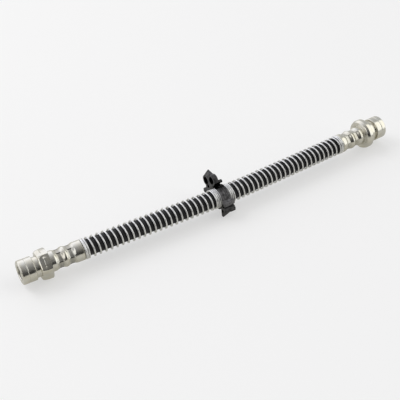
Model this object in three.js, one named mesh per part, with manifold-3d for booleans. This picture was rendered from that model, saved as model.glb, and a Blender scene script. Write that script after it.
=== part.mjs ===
// Brake hose with a spring guard, two crimped end fittings and a plastic cable clip.
// Millimetres. X runs along the hose, Y away from the viewer, Z up from the floor at 0.

import * as THREE from 'three';
import { mergeVertices } from 'three/addons/utils/BufferGeometryUtils.js';
import Module from 'manifold-3d';

const wasm = await Module();
wasm.setup();
const { Manifold, Mesh: SolidMesh } = wasm;

const TAU = 2 * Math.PI;
const GAP = 0.3; // air between pieces that touch on the real hose

// Rubber hose
const HOSE_OD = 10.4;
const HOSE_BORE = 3.2;
const HOSE_END_BORE = 4.6; // opened up by the nipple that it is pushed over
const HOSE_SIDES = 12;

// Route of the hose's middle line between the socket mouths, [along, to the back], bent a
// little at the clip. It runs on straight beyond both mouths, where the fittings sit on it.
const ROUTE = [
  [-98.75, 3.25], [-85, 2.75], [-70, 2.2], [-55, 1.66], [-40, 1.12], [-28, 0.7], [-16, 0.32], [0, 0.1],
  [16, 0.32], [28, 0.7], [40, 1.12], [55, 1.66], [70, 2.2], [85, 2.75], [98.75, 3.25],
];

// Spring guard: one round wire, close-wound at both ends and under the clip
const WIRE = 1.1;
const SPRING_PITCH = 3.741;
const CLOSE_PITCH = 1.196;
const SPRING_START = 152.0; // degrees from the front up, where the wire begins at the left mouth
const END_BAND = 3.0; // length of each close-wound end
const MIDDLE_BAND = 13.4; // length of the close-wound stretch under the clip
const SPRING_BORE = HOSE_OD + 2 * GAP;
const STEPS_PER_TURN = 12;
const WIRE_SIDES = 5;

// Crimped socket, alike on both fittings
const SOCKET_LENGTH = 20.2;
const SOCKET_RADIUS = 6.45;
const SOCKET_WALL = 0.85;
const CRIMP_RADIUS = 5.5; // across the pressed faces
const CRIMP_RIDGE = 5.95; // at the six ridges that the dies leave
const CRIMP_WIDTH = 3.0;
const CRIMP_SLOPE = 1.2;
const CRIMP_PLACES = [7.0, 14.0]; // from the socket's mouth
const SOCKET_DEPTH = 19.0; // how far the hose goes in
const NIPPLE_RADIUS = 2.0;
const NIPPLE_BORE = 2.2;
const NIPPLE_LENGTH = 17.5;
const SIDES = 24;

// Female port, alike on both fittings
const PORT_BORE = 9.0; // minor diameter of an M10 x 1 thread
const PORT_DEPTH = 12.0;
const PORT_SEAT = 3.0; // length of the cone that the pipe's flare seals on
const EDGE = 0.5; // small chamfer at the ends

// Left fitting: hexagon, groove for a bracket's spring clip, collar
const HEX_WIDTH = 17.0;
const HEX_LENGTH = 6.7;
const HEX_STEP = 0.3; // the outer half is milled this much lower
const HEX_STEP_PLACE = 3.4;
const HEX_CHAMFER = 1.2;
const HEX_TURN = 19.0; // degrees from the front level up to the first corner
const LEFT_GROOVE_RADIUS = 6.4;
const LEFT_GROOVE_LENGTH = 2.8;
const COLLAR_RADIUS = 7.5;
const COLLAR_LENGTH = 8.8;

// Right fitting: cone, round flange, step, groove, tip
const CONE_LENGTH = 1.1;
const CONE_FOOT = 8.6;
const FLANGE_RADIUS = 10.2;
const FLANGE_LENGTH = 3.8;
const STEP_RADIUS = 7.4;
const STEP_LENGTH = 4.0;
const RIGHT_GROOVE_RADIUS = 6.3;
const RIGHT_GROOVE_LENGTH = 2.0;
const TIP_RADIUS = 7.9;
const TIP_LENGTH = 7.9;

// Clip. Places across the hose are [to the back, up] from its axis.
const CLIP_WIDTH = 6.4;
const CLIP_LEFT = -3.45; // where the clip's left face lies
const CLIP_WALL = 0.75;
const CLIP_BORE_RADIUS = SPRING_BORE / 2 + WIRE + GAP;
const CLIP_GROOVE = 0.35; // depth of the groove round the ring
const EAR_ROOT = 6.2; // where the ears leave the ring, to the front
const EAR_REACH = 10.2; // how far the closed ears stand out to the front
const EAR_THICKNESS = 3.1;
const EAR_SPLIT = -1.2; // height of the slit between the ears
const EAR_GAP = 0.4;
const TONGUE = 1.7; // how far the ears stand out past the ring's right face
const HOLDER_WIDTH = 3.3;
const CHANNELS = [[12.5, 6.0], [6.2, 10.2]]; // middles of the two cable channels
const CHANNEL_RADIUS = 2.5;
const CHANNEL_WALL = 1.3;
const HOLDER_BACK = [[9.2, 12.8], [14.9, 12.4], [16.3, 7.6], [12.5, 3.0], [6.2, 7.0]];
const HOLDER_FRONT = [[8.9, 12.4], [12.6, 9.6], [16.2, 7.0], [12.5, 3.0], [6.2, 7.0]];
const HOLDER_FACE = 0.4; // length over which each of the two outlines holds
const PIN_PLACE = [5.2, 7.9];
const PIN_RADIUS = 1.0;
const PIN_LENGTH = 7.3;

// The part lies on the hexagon's lowest corner at the left and on the round flange at the right,
// so the middle line falls very slightly from the flange to the hexagon.
const HEX_CORNER = HEX_WIDTH / 2 / Math.cos(TAU / 12);
const LOWEST_CORNER = THREE.MathUtils.degToRad(HEX_TURN + 240);
const LEFT_REST = -HEX_CORNER * Math.sin(LOWEST_CORNER);
const RIGHT_REST = FLANGE_RADIUS;
const LEFT_REST_X = ROUTE[0][0] - SOCKET_LENGTH;
const RIGHT_REST_X = ROUTE[ROUTE.length - 1][0] + SOCKET_LENGTH + CONE_LENGTH;

function heightAt(x) {
  return LEFT_REST + (RIGHT_REST - LEFT_REST) * (x - LEFT_REST_X) / (RIGHT_REST_X - LEFT_REST_X);
}

class Route extends THREE.Curve {
  constructor(points) {
    super();
    this.spline = new THREE.CatmullRomCurve3(
      points.map(([x, y]) => new THREE.Vector3(x, y, heightAt(x))), false, 'catmullrom', 0.5);
    this.start = this.spline.getPoint(0);
    this.end = this.spline.getPoint(1);
    this.startWay = this.spline.getPoint(0.001).sub(this.start).normalize();
    this.endWay = this.end.clone().sub(this.spline.getPoint(0.999)).normalize();
    this.length = this.spline.getLength();
  }

  // Point and direction at a distance from the left mouth, straight beyond both mouths
  at(distance) {
    if (distance <= 0) {
      return { point: this.start.clone().addScaledVector(this.startWay, distance), way: this.startWay };
    }
    if (distance >= this.length) {
      const extra = distance - this.length;
      return { point: this.end.clone().addScaledVector(this.endWay, extra), way: this.endWay };
    }
    const u = distance / this.length;
    return { point: this.spline.getPointAt(u), way: this.spline.getTangentAt(u) };
  }
}

const route = new Route(ROUTE);
const clipAxis = route.at(route.length / 2).point;

// A closed outline of [distance, radius] turned about the route.
// radius may be a function of the angle, counted from the front (-Y) upwards.
function turned(outline, sides, path, turn = 0) {
  const positions = [];
  const index = [];
  const up = new THREE.Vector3(0, 0, 1);
  for (const [distance, radius] of outline) {
    const { point, way } = path.at(distance);
    const back = new THREE.Vector3().crossVectors(up, way).normalize();
    const top = new THREE.Vector3().crossVectors(way, back);
    for (let i = 0; i < sides; i++) {
      const angle = turn + (i / sides) * TAU;
      const r = typeof radius === 'function' ? radius(angle - turn) : radius;
      const p = point.clone()
        .addScaledVector(back, -r * Math.cos(angle))
        .addScaledVector(top, r * Math.sin(angle));
      positions.push(p.x, p.y, p.z);
    }
  }
  const rings = outline.length;
  for (let ring = 0; ring < rings; ring++) {
    for (let i = 0; i < sides; i++) {
      const a = ring * sides + i;
      const b = ring * sides + ((i + 1) % sides);
      const c = ((ring + 1) % rings) * sides + i;
      const d = ((ring + 1) % rings) * sides + ((i + 1) % sides);
      index.push(a, c, b, b, c, d);
    }
  }
  const geometry = new THREE.BufferGeometry();
  geometry.setAttribute('position', new THREE.Float32BufferAttribute(positions, 3));
  geometry.setIndex(index);
  return facingOut(geometry);
}

// Turns a closed surface the right way out
function facingOut(geometry) {
  const p = geometry.attributes.position;
  const index = geometry.index.array;
  const [a, b, c] = [new THREE.Vector3(), new THREE.Vector3(), new THREE.Vector3()];
  let volume = 0;
  for (let i = 0; i < index.length; i += 3) {
    a.fromBufferAttribute(p, index[i]);
    b.fromBufferAttribute(p, index[i + 1]);
    c.fromBufferAttribute(p, index[i + 2]);
    volume += a.dot(b.cross(c));
  }
  if (volume < 0) {
    const flipped = Array.from(index);
    for (let i = 0; i < flipped.length; i += 3) {
      [flipped[i + 1], flipped[i + 2]] = [flipped[i + 2], flipped[i + 1]];
    }
    geometry.setIndex(flipped);
  }
  geometry.computeVertexNormals();
  return geometry;
}

function piece(name, geometry, color, roughness, metalness) {
  const mesh = new THREE.Mesh(geometry, new THREE.MeshStandardMaterial({ color, roughness, metalness }));
  mesh.name = name;
  return mesh;
}

// Radius of a hexagon whose corner lies at angle 0, with its corners turned down to a limit
function hexagon(width, limit) {
  return (angle) => {
    const fromFlat = ((angle % (TAU / 6)) + TAU / 6) % (TAU / 6) - TAU / 12;
    return Math.min(width / 2 / Math.cos(fromFlat), limit);
  };
}

// Section that six dies leave: faces at one radius, a ridge between each two
function crimped(angle) {
  const sixth = ((angle % (TAU / 6)) + TAU / 6) % (TAU / 6);
  const fromRidge = Math.min(sixth, TAU / 6 - sixth);
  return fromRidge < TAU / 48 ? CRIMP_RIDGE : CRIMP_RADIUS;
}

// Outside of the socket from its mouth to its foot
function socketOutside() {
  const outline = [[0, SOCKET_RADIUS - EDGE / 2], [EDGE, SOCKET_RADIUS]];
  for (const place of CRIMP_PLACES) {
    const half = CRIMP_WIDTH / 2;
    outline.push([place - half - CRIMP_SLOPE / 2, SOCKET_RADIUS]);
    outline.push([place - half + CRIMP_SLOPE / 2, crimped]);
    outline.push([place + half - CRIMP_SLOPE / 2, crimped]);
    outline.push([place + half + CRIMP_SLOPE / 2, SOCKET_RADIUS]);
  }
  outline.push([SOCKET_LENGTH, SOCKET_RADIUS]);
  return outline;
}

// Radius that the hose is pressed to inside the socket, at a distance from the mouth
function pressedStops() {
  const free = HOSE_OD / 2;
  const pressed = CRIMP_RADIUS - SOCKET_WALL - GAP;
  const stops = [];
  for (const place of CRIMP_PLACES) {
    const half = CRIMP_WIDTH / 2;
    stops.push([place - half - CRIMP_SLOPE / 2, free]);
    stops.push([place - half + CRIMP_SLOPE / 2, pressed]);
    stops.push([place + half - CRIMP_SLOPE / 2, pressed]);
    stops.push([place + half + CRIMP_SLOPE / 2, free]);
  }
  return stops;
}

// Inside of the socket and outside of the nipple, from the socket's mouth and back out
function socketInside() {
  const outline = [[0, HOSE_OD / 2 + GAP]];
  for (const [place, radius] of pressedStops()) {
    outline.push([place, radius + GAP]);
  }
  outline.push([SOCKET_DEPTH, HOSE_OD / 2 + GAP]);
  outline.push([SOCKET_DEPTH, NIPPLE_RADIUS]);
  outline.push([SOCKET_DEPTH - NIPPLE_LENGTH + EDGE, NIPPLE_RADIUS]);
  outline.push([SOCKET_DEPTH - NIPPLE_LENGTH, NIPPLE_RADIUS - EDGE / 2]);
  return outline.reverse();
}

// Bore from the end face inwards to the nipple's tip
function port(length) {
  return [
    [length, PORT_BORE / 2 + EDGE],
    [length - EDGE, PORT_BORE / 2],
    [length - PORT_DEPTH, PORT_BORE / 2],
    [length - PORT_DEPTH - PORT_SEAT, NIPPLE_BORE / 2],
    [SOCKET_DEPTH - NIPPLE_LENGTH, NIPPLE_BORE / 2],
  ];
}

function leftHead() {
  const corner = HEX_CORNER;
  const hexEnd = SOCKET_LENGTH + HEX_LENGTH;
  const grooveEnd = hexEnd + LEFT_GROOVE_LENGTH;
  const end = grooveEnd + COLLAR_LENGTH;
  const lowHex = HEX_WIDTH - 2 * HEX_STEP;
  return {
    length: end,
    outline: [
      [SOCKET_LENGTH, hexagon(HEX_WIDTH, corner - EDGE)],
      [SOCKET_LENGTH + EDGE, hexagon(HEX_WIDTH, corner)],
      [SOCKET_LENGTH + HEX_LENGTH - HEX_STEP_PLACE, hexagon(HEX_WIDTH, corner)],
      [SOCKET_LENGTH + HEX_LENGTH - HEX_STEP_PLACE, hexagon(lowHex, corner - HEX_STEP)],
      [hexEnd - HEX_CHAMFER, hexagon(lowHex, corner - HEX_STEP)],
      [hexEnd, hexagon(lowHex, corner - HEX_STEP - HEX_CHAMFER)],
      [hexEnd, LEFT_GROOVE_RADIUS],
      [grooveEnd, LEFT_GROOVE_RADIUS],
      [grooveEnd, COLLAR_RADIUS],
      [end - EDGE, COLLAR_RADIUS],
      [end, COLLAR_RADIUS - EDGE],
    ],
  };
}

function rightHead() {
  const coneEnd = SOCKET_LENGTH + CONE_LENGTH;
  const flangeEnd = coneEnd + FLANGE_LENGTH;
  const stepEnd = flangeEnd + STEP_LENGTH;
  const grooveEnd = stepEnd + RIGHT_GROOVE_LENGTH;
  const end = grooveEnd + TIP_LENGTH;
  return {
    length: end,
    outline: [
      [SOCKET_LENGTH, CONE_FOOT],
      [coneEnd, FLANGE_RADIUS - EDGE / 2],
      [coneEnd + EDGE / 2, FLANGE_RADIUS],
      [flangeEnd - EDGE / 2, FLANGE_RADIUS],
      [flangeEnd, FLANGE_RADIUS - EDGE / 2],
      [flangeEnd, STEP_RADIUS],
      [stepEnd, STEP_RADIUS],
      [stepEnd, RIGHT_GROOVE_RADIUS],
      [grooveEnd, RIGHT_GROOVE_RADIUS],
      [grooveEnd, TIP_RADIUS],
      [end - EDGE, TIP_RADIUS],
      [end, TIP_RADIUS - EDGE],
    ],
  };
}

// One turned fitting. place(distance from the mouth) gives the distance along the route.
function fitting(name, head, place, color) {
  const outline = [...socketOutside(), ...head.outline, ...port(head.length), ...socketInside()];
  const placed = outline.map(([distance, radius]) => [place(distance), radius]);
  const geometry = turned(placed, SIDES, route, THREE.MathUtils.degToRad(HEX_TURN));
  return piece(name, geometry, color, 0.22, 1.0);
}

function rubberHose() {
  const end = route.length;
  const depth = SOCKET_DEPTH - GAP;
  const outside = [];
  outside.push([-depth, HOSE_OD / 2]);
  for (const [place, radius] of pressedStops().reverse()) {
    outside.push([-place, radius]);
  }
  const steps = 8;
  for (let i = 0; i <= steps; i++) {
    outside.push([(i / steps) * end, HOSE_OD / 2]);
  }
  for (const [place, radius] of pressedStops()) {
    outside.push([end + place, radius]);
  }
  outside.push([end + depth, HOSE_OD / 2]);
  const overNipple = SOCKET_DEPTH - NIPPLE_LENGTH - GAP;
  const inside = [[end + depth, HOSE_END_BORE / 2], [end + overNipple, HOSE_END_BORE / 2]];
  for (let i = steps; i >= 0; i--) {
    inside.push([(i / steps) * end, HOSE_BORE / 2]);
  }
  inside.push([-overNipple, HOSE_END_BORE / 2], [-depth, HOSE_END_BORE / 2]);
  return piece('rubber_hose', turned([...outside, ...inside], HOSE_SIDES, route), 0x1d1d1f, 0.6, 0);
}

// Distances along the hose at which the spring's wire starts each stretch, with its pitch
function springStretches() {
  const start = GAP + WIRE / 2;
  const end = route.length - start;
  const middle = route.length / 2;
  return [
    { from: start, to: start + END_BAND, pitch: CLOSE_PITCH },
    { from: start + END_BAND, to: middle - MIDDLE_BAND / 2, pitch: SPRING_PITCH },
    { from: middle - MIDDLE_BAND / 2, to: middle + MIDDLE_BAND / 2, pitch: CLOSE_PITCH },
    { from: middle + MIDDLE_BAND / 2, to: end - END_BAND, pitch: SPRING_PITCH },
    { from: end - END_BAND, to: end, pitch: CLOSE_PITCH },
  ];
}

// Centre line of the wire, as points around the bent route
function springLine() {
  const radius = SPRING_BORE / 2 + WIRE / 2;
  const points = [];
  const up = new THREE.Vector3(0, 0, 1);
  const first = THREE.MathUtils.degToRad(SPRING_START);
  let turns = 0;
  for (const { from, to, pitch } of springStretches()) {
    const count = Math.round(((to - from) / pitch) * STEPS_PER_TURN);
    const grow = (to - from) / pitch / count;
    for (let i = points.length ? 1 : 0; i <= count; i++) {
      const distance = from + ((to - from) * i) / count;
      const angle = first - (turns + grow * i) * TAU;
      const { point, way } = route.at(distance);
      const back = new THREE.Vector3().crossVectors(up, way).normalize();
      const top = new THREE.Vector3().crossVectors(way, back);
      points.push({
        centre: point.clone()
          .addScaledVector(back, -radius * Math.cos(angle))
          .addScaledVector(top, radius * Math.sin(angle)),
        out: back.multiplyScalar(-Math.cos(angle)).addScaledVector(top, Math.sin(angle)),
      });
    }
    turns += grow * count;
  }
  return points;
}

function springGuard() {
  const line = springLine();
  const positions = [];
  const index = [];
  line.forEach(({ centre, out }, i) => {
    const before = line[Math.max(i - 1, 0)].centre;
    const after = line[Math.min(i + 1, line.length - 1)].centre;
    const way = after.clone().sub(before).normalize();
    const side = new THREE.Vector3().crossVectors(way, out).normalize();
    const outward = new THREE.Vector3().crossVectors(side, way);
    for (let k = 0; k < WIRE_SIDES; k++) {
      const angle = (k / WIRE_SIDES) * TAU;
      const p = centre.clone()
        .addScaledVector(outward, (WIRE / 2) * Math.cos(angle))
        .addScaledVector(side, (WIRE / 2) * Math.sin(angle));
      positions.push(p.x, p.y, p.z);
    }
  });
  for (let i = 0; i < line.length - 1; i++) {
    for (let k = 0; k < WIRE_SIDES; k++) {
      const a = i * WIRE_SIDES + k;
      const b = i * WIRE_SIDES + ((k + 1) % WIRE_SIDES);
      index.push(a, a + WIRE_SIDES, b, b, a + WIRE_SIDES, b + WIRE_SIDES);
    }
  }
  const last = (line.length - 1) * WIRE_SIDES;
  for (let k = 1; k < WIRE_SIDES - 1; k++) {
    index.push(0, k, k + 1);
    index.push(last, last + k + 1, last + k);
  }
  const geometry = new THREE.BufferGeometry();
  geometry.setAttribute('position', new THREE.Float32BufferAttribute(positions, 3));
  geometry.setIndex(index);
  return piece('spring_guard', facingOut(geometry), 0xc9cacb, 0.28, 1.0);
}

// Flat outline in the plane across the hose, pushed along X
function slab(outline, fromX, toX) {
  const shape = new THREE.Shape(outline.map(([y, z]) => new THREE.Vector2(y, z)));
  const geometry = new THREE.ExtrudeGeometry(shape, { depth: toX - fromX, bevelEnabled: false });
  geometry.applyMatrix4(new THREE.Matrix4().set(
    0, 0, 1, fromX,
    1, 0, 0, clipAxis.y,
    0, 1, 0, clipAxis.z,
    0, 0, 0, 1));
  return solid(geometry);
}

// Flat outline seen from above, [along X, to the back], pushed up from one height to another
function plate(outline, fromZ, toZ) {
  const shape = new THREE.Shape(outline.map(([x, y]) => new THREE.Vector2(x, y)));
  const geometry = new THREE.ExtrudeGeometry(shape, { depth: toZ - fromZ, bevelEnabled: false });
  return solid(geometry.translate(0, clipAxis.y, clipAxis.z + fromZ));
}

function circle(radius, sides, y = 0, z = 0) {
  return Array.from({ length: sides }, (_, i) => {
    const angle = (i / sides) * TAU;
    return [y + radius * Math.cos(angle), z + radius * Math.sin(angle)];
  });
}

function solid(geometry) {
  const bare = new THREE.BufferGeometry();
  bare.setAttribute('position', geometry.attributes.position);
  if (geometry.index) bare.setIndex(geometry.index);
  const merged = mergeVertices(bare, 1e-4);
  return new Manifold(new SolidMesh({
    numProp: 3,
    vertProperties: Float32Array.from(merged.attributes.position.array),
    triVerts: Uint32Array.from(merged.index.array),
  }));
}

function geometryOf(manifold) {
  const mesh = manifold.getMesh();
  const geometry = new THREE.BufferGeometry();
  geometry.setAttribute('position', new THREE.Float32BufferAttribute(mesh.vertProperties, 3));
  geometry.setIndex(Array.from(mesh.triVerts));
  geometry.computeVertexNormals();
  return geometry;
}

// Snap ring with a groove round it
function clipRing(right) {
  const outer = CLIP_BORE_RADIUS + CLIP_WALL;
  const ring = slab(circle(outer, 32), CLIP_LEFT, right);
  const middle = (CLIP_LEFT + right) / 2;
  const groove = slab(circle(outer + 1, 32), middle + 0.7, middle + 1.2)
    .subtract(slab(circle(outer - CLIP_GROOVE, 32), middle, middle + 2));
  return ring.subtract(groove);
}

// Two ears that lie shut on the front, the lower one with a finger wing down to the floor
function clipEars(right) {
  const end = right + TONGUE;
  const above = EAR_SPLIT + EAR_GAP / 2;
  const below = EAR_SPLIT - EAR_GAP / 2;
  const upper = plate([
    [CLIP_LEFT, -EAR_ROOT], [CLIP_LEFT, -EAR_REACH], [right - 1.2, -EAR_REACH],
    [end, -EAR_REACH + 0.6], [end, -EAR_REACH + 2.2], [right, -EAR_ROOT],
  ], above, above + EAR_THICKNESS);
  const lower = plate([
    [CLIP_LEFT, -EAR_ROOT], [CLIP_LEFT, -EAR_REACH], [right, -EAR_REACH - 0.8],
    [right, -EAR_ROOT],
  ], below - 3.4, below);
  const tongue = plate([
    [right - 2, -EAR_ROOT], [right - 2, -EAR_REACH - 0.6], [end, -EAR_REACH - 0.6],
    [end, -EAR_REACH + 1.6], [right, -EAR_ROOT],
  ], below - 4.2, below - 1.6);
  const floor = -clipAxis.z;
  const wing = slab([
    [-5.5, -2], [-6.9, floor], [-8.6, floor], [-EAR_REACH, -3.2], [-EAR_REACH, -2],
  ], CLIP_LEFT, right - 0.4);
  return upper.add(lower).add(tongue).add(wing);
}

// Twin cable holder on the back, thinner than the ring, with a sloping top
function cableHolder() {
  const right = CLIP_LEFT + HOLDER_WIDTH;
  const [outer, inner] = CHANNELS;
  const reach = CHANNEL_RADIUS + CHANNEL_WALL;
  const rims = [circle(reach, 24, ...outer), circle(reach, 24, ...inner)]
    .map((rim) => slab(rim, CLIP_LEFT, right));
  const back = slab(HOLDER_BACK, right - HOLDER_FACE, right);
  const front = slab(HOLDER_FRONT, CLIP_LEFT, CLIP_LEFT + HOLDER_FACE);
  const web = Manifold.hull([back, front]);
  const foot = slab([[3.6, 5.6], [4.4, 8.2], [12, 6], [12.6, 1.0], [8.6, 0.4], [6.8, 0.4]],
    CLIP_LEFT, right);
  const pin = slab(circle(PIN_RADIUS, 12, ...PIN_PLACE), CLIP_LEFT, CLIP_LEFT + PIN_LENGTH);
  const notch = slab([[8.2, 14], [10.0, 14], [9.3, 11.2]], CLIP_LEFT - 1, CLIP_LEFT + 1.6);
  const channels = CHANNELS.map(([y, z]) => slab(circle(CHANNEL_RADIUS, 20, y, z),
    CLIP_LEFT - 1, CLIP_LEFT + PIN_LENGTH + 1));
  const body = [web, foot, pin].reduce((sum, next) => sum.add(next), rims[0].add(rims[1]));
  return channels.reduce((rest, next) => rest.subtract(next), body.subtract(notch));
}

// Small hook under the outer channel
function wireHook() {
  return slab([
    [6.8, 0.8], [10.6, -0.7], [14.2, -1.2], [15.6, -2.6], [15.4, -4.6], [13.6, -5.4], [13.0, -4.2],
    [13.8, -3.2], [12.6, -2.6], [9.6, -2.2], [6.6, -1.6],
  ], CLIP_LEFT, CLIP_LEFT + 2.6);
}

function clipSolid() {
  const right = CLIP_LEFT + CLIP_WIDTH;
  const bore = slab(circle(CLIP_BORE_RADIUS, 32), CLIP_LEFT - 5, right + 5);
  return clipRing(right).add(clipEars(right)).add(cableHolder()).add(wireHook()).subtract(bore);
}

function clip() {
  return piece('clip', geometryOf(clipSolid()), 0x232325, 0.5, 0);
}

const part = new THREE.Group();
part.add(rubberHose());
part.add(springGuard());
part.add(fitting('left_fitting', leftHead(), (distance) => -distance, 0xb9babb));
part.add(fitting('right_fitting', rightHead(), (distance) => route.length + distance, 0xb9babb));
part.add(clip());

// The frame's origin is on the floor, under the middle of the whole part
const box = new THREE.Box3().setFromObject(part);
part.position.set(-(box.min.x + box.max.x) / 2, -(box.min.y + box.max.y) / 2, -box.min.z);

export default part;
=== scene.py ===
import math
from bisect import bisect_right

import bmesh
import bpy
from bpy.props import FloatProperty, FloatVectorProperty, IntProperty, PointerProperty
from mathutils import Matrix, Vector


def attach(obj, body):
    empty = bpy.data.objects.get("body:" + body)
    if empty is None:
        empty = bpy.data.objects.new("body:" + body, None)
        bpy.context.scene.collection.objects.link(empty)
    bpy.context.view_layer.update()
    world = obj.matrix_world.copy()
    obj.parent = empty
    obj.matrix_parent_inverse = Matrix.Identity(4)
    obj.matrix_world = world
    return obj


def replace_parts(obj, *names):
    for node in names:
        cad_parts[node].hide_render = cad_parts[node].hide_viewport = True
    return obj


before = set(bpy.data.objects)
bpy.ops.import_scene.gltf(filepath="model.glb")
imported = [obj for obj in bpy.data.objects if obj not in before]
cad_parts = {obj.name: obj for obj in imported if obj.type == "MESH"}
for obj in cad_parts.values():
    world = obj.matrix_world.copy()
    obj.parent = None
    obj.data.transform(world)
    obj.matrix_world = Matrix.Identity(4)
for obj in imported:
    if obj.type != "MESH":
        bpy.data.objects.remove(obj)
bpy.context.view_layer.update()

bl_info = {
    "name": "Brake hose",
    "version": (1, 0, 0),
    "blender": (4, 5, 0),
    "location": "View3D > Sidebar > Brake hose",
    "description": "Dresses a brake hose: rubber, spring guard, crimped fittings and clip",
    "category": "Object",
}

MM = 0.001
TAU = 2 * math.pi
SIXTH_TURN = TAU / 6

# The hose's middle line between the socket mouths, [along, to the back], as in the part's source
ROUTE = [
    (-0.09875, 0.00325), (-0.085, 0.00275), (-0.07, 0.0022), (-0.055, 0.00166),
    (-0.04, 0.00112), (-0.028, 0.0007), (-0.016, 0.00032), (0.0, 0.0001),
    (0.016, 0.00032), (0.028, 0.0007), (0.04, 0.00112), (0.055, 0.00166),
    (0.07, 0.0022), (0.085, 0.00275), (0.09875, 0.00325),
]
# From the source's own origin to the row's frame
TO_ROW = Vector((-0.256035 * MM, -2.75 * MM, 0.007743 * MM))
# Points of the curve between two points of the route
ROUTE_STEPS = 32

# Sizes that the visual model shares with the part's source
GAP = 0.3 * MM  # air between pieces that touch on the real hose
SOCKET_LENGTH = 20.2 * MM
SOCKET_RADIUS = 6.45 * MM
SOCKET_WALL = 0.85 * MM
SOCKET_DEPTH = 19.0 * MM
CRIMP_RADIUS = 5.5 * MM
CRIMP_RIDGE = 5.95 * MM
CRIMP_WIDTH = 3.0 * MM
CRIMP_SLOPE = 1.2 * MM
CRIMP_PLACES = (7.0 * MM, 14.0 * MM)
NIPPLE_RADIUS = 2.0 * MM
NIPPLE_BORE = 2.2 * MM
NIPPLE_LENGTH = 17.5 * MM
HOSE_BORE = 3.2 * MM
HOSE_END_BORE = 4.6 * MM
PORT_RADIUS = 4.5 * MM
PORT_DEPTH = 12.0 * MM
PORT_SEAT = 3.0 * MM
PORT_MOUTH = 5.2 * MM  # radius of the broken edge round each port
CONE_LENGTH = 1.1 * MM
FLANGE_RADIUS = 10.2 * MM
EDGE = 0.5 * MM  # chamfer on the ends of both fittings
HEX_WIDTH = 17.0 * MM
HEX_TURN = math.radians(19.0)
HEX_CORNER = HEX_WIDTH / 2 / math.cos(SIXTH_TURN / 2)

# Where along the hose each fitting lies on the floor, and how high its middle is there
LEFT_REST_X = ROUTE[0][0] - SOCKET_LENGTH
LEFT_REST = -HEX_CORNER * math.sin(HEX_TURN + 4 * SIXTH_TURN)
RIGHT_REST_X = ROUTE[-1][0] + SOCKET_LENGTH + CONE_LENGTH
RIGHT_REST = FLANGE_RADIUS

# Small forms that the solids leave out
THREAD_PITCH = 1.0 * MM
THREAD_DEPTH = 0.5 * MM
THREAD_TURNS = 10
SHOULDER_EDGE = 0.25 * MM  # chamfer on the turned shoulders
CRIMP_TIGHTER = 0.25 * MM  # how much deeper than the solids' the dies pressed
CRIMP_BLEND = 2.5 * MM  # length over which a crimp rises to the socket's radius
HEX_LEDGE = 3.4 * MM  # length of the hexagon's square inner half
HEX_CROWN = 0.45 * MM

# How far each socket's mouth lies out over the hose from where the solids have it
LEFT_MOUTH = 1.1 * MM
RIGHT_MOUTH = -1.2 * MM
# Air between a socket's mouth and the first coil
MOUTH_GAP = 0.1 * MM
# Advance of the first and the last turn, which lie flat against the mouths
FLAT_TURN = 0.15 * MM

# Angles of one sixth of a turn, close together at the corners of the hexagon
SIXTH = (
    0.0, 0.8, 1.8, 2.8, 3.8, 4.8, 6.0, 8.0, 11.0, 15.0, 20.0, 25.0, 30.0,
    35.0, 40.0, 45.0, 49.0, 52.0, 54.0, 55.2, 56.2, 57.2, 58.2, 59.2)
ANGLES = [math.radians(60 * k + a) for k in range(6) for a in SIXTH]
# Edges that bend more than this stay crisp, on a turned mesh and on the wire's cut ends
SHARP_ANGLE = math.radians(32.0)
WIRE_SHARP_ANGLE = math.radians(50.0)

# The clip is cut and joined in millimetres from the hose's axis, and brought to size at the end.
# Its places are [to the back, up], and a round has its radius after its place.
CLIP_LEFT = -3.45
HOLDER_WIDTH = 3.3
CHANNELS = ((12.5, 6.0), (6.2, 10.2))
CHANNEL_RADIUS = 2.5
CHANNEL_WALL = 1.3
# Round pits in the left face, with their depth last
PITS = ((9.6, 3.4, 1.25, 2.0), (-7.6, -5.6, 0.95, 2.6))
# Other rounds that no light reaches, and a round on the ring's front that gets painted light
DARK_ROUNDS = ((3.5, 6.5, 1.5), (1.4, 8.8, 1.8), (-7.5, -0.9, 1.7))
PAINTED_LIGHT_ROUND = (-5.8, 3.0, 3.8)
PIN = (2.9, 10.2)
PIN_RADIUS = 1.15
PIN_LENGTH = 5.8
EAR_GAP = 0.9
EAR_SPLIT = -1.2
# Left edges of the grooves in the ring, from its middle
RING_GROOVES = (-1.5, 0.3, 1.5)
RING_GROOVE_WIDTH = 0.55
RING_GROOVE_DEPTH = 0.45

# Brightness of the room by the angle from the front horizon over the top to the back horizon,
# for reflections that look across the hose and along its right
ROOM_ACROSS = (
    (0, (0.02, 0.02, 0.02)), (20, (0.05, 0.05, 0.05)), (42, (0.16, 0.16, 0.16)),
    (84, (0.43, 0.43, 0.445)), (116, (0.9, 0.91, 0.95)), (150, (1.45, 1.46, 1.55)),
    (180, (1.25, 1.26, 1.33)))
ROOM_RIGHT = (
    (0, (0.45, 0.45, 0.44)), (8, (1.55, 1.55, 1.5)), (94, (1.6, 1.6, 1.55)),
    (106, (0.55, 0.56, 0.56)), (180, (0.75, 0.76, 0.77)))
# How far a direction points to the right where the first begins to give way to the second, and
# where it is gone
RIGHT_BEGINS = 0.34
RIGHT_RULES = 0.52
# Tone of the floor in the metal's reflections, and how much of the floor's look is glow
FLOOR_IN_METAL = (0.57, 0.555, 0.485)
FLOOR_GLOW = 0.55
FLOOR_REACH = 6.0


class HoseSizes(bpy.types.PropertyGroup):
    """Sizes and colour of the rubber hose"""
    diameter: FloatProperty(
        name="Diameter", description="Outside diameter of the rubber cover",
        default=10.4 * MM, min=1 * MM, unit="LENGTH", subtype="DISTANCE")
    sides: IntProperty(
        name="Sides", description="Faces round the hose", default=48, min=12, max=128)
    colour: FloatVectorProperty(
        name="Colour", description="Colour of the rubber cover",
        default=(0.016, 0.016, 0.0175), min=0, max=1, subtype="COLOR")


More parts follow.
